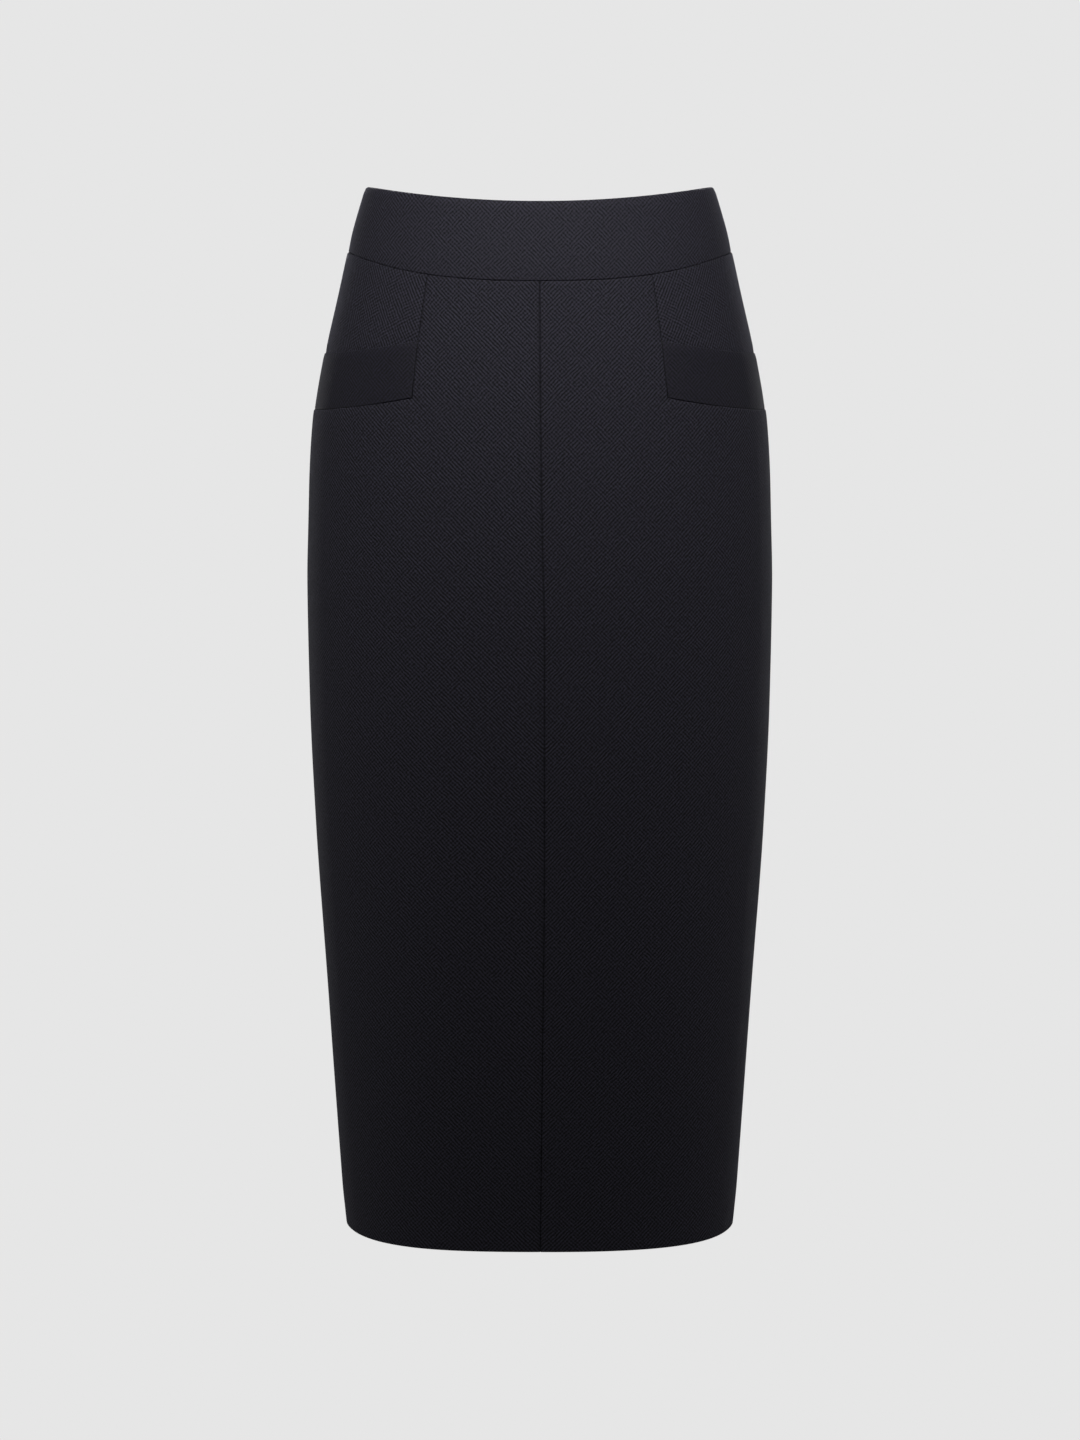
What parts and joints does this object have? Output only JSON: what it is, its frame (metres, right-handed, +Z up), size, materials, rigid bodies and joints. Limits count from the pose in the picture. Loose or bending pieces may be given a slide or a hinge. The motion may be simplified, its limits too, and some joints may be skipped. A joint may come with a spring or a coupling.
{
  "type": "pencil skirt",
  "caption": "High-waisted knee-length pencil skirt with a shaped waistband, hip yokes over banded pockets, a centre-back zip and a walking vent, hollow as when worn.",
  "frame": {"origin": "middle of the waist opening, half way up the waistband, where the wearer's waist holds the skirt", "axes": "+Z up, -Y to the front, +X to the wearer's left"},
  "size_m": [0.3308, 0.2515, 0.74],
  "materials": {
    "wool_cloth": "matt ink-navy wool with a small staggered bird's-eye weave",
    "pocket_band_cloth": "the same ink navy, smoother and darker, with a soft sheen",
    "zip_tape": "fine ribbed woven tape",
    "zip_enamel": "dark enamelled metal, half gloss"
  },
  "bodies": {
    "skirt": {"waistband_front": "wool_cloth", "waistband_back_left": "wool_cloth", "waistband_back_right": "wool_cloth", "front_left": "wool_cloth", "front_right": "wool_cloth", "yoke_left": "wool_cloth", "yoke_right": "wool_cloth", "pocket_band_left": "pocket_band_cloth", "pocket_band_right": "pocket_band_cloth", "back_left": "wool_cloth", "back_right": "wool_cloth", "zip_tape": "zip_tape", "zip_slider": "zip_enamel"},
    "zip_pull": {"zip_pull": "zip_enamel"}
  },
  "joints": [
    {"name": "zip_pull_swing", "type": "hinge", "parent": "skirt", "child": "zip_pull", "pos_m": [0, 0.09546, 0.01066], "axis": [1, 0, 0], "range_deg": [0, 165]}
  ]
}
